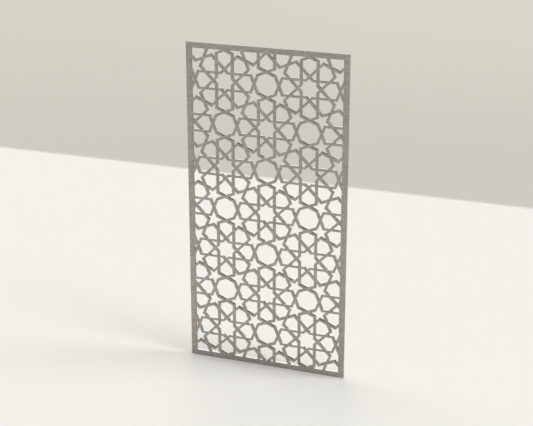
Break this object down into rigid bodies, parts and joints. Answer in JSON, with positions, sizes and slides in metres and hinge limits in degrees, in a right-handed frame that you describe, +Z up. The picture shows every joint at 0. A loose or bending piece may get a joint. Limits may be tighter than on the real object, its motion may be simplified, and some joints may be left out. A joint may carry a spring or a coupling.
{
  "type": "decorative metal screen",
  "caption": "Flat pierced metal screen: a lattice of eight-fold rosettes, octagons and five-pointed stars cut through one sheet, inside a plain border.",
  "frame": {"origin": "middle of the lower edge of the sheet, half-way through its thickness, where the edge sits in a channel or on a sill", "axes": "+Z up along the height, +X along the width, -Y out of the brushed front"},
  "size_m": [0.6, 0.009, 1.2],
  "materials": {
    "brushed_steel": "warm grey, brushed along the width, with bare cut edges"
  },
  "bodies": {
    "root": {"pierced_metal_screen": "brushed_steel"}
  },
  "joints": []
}
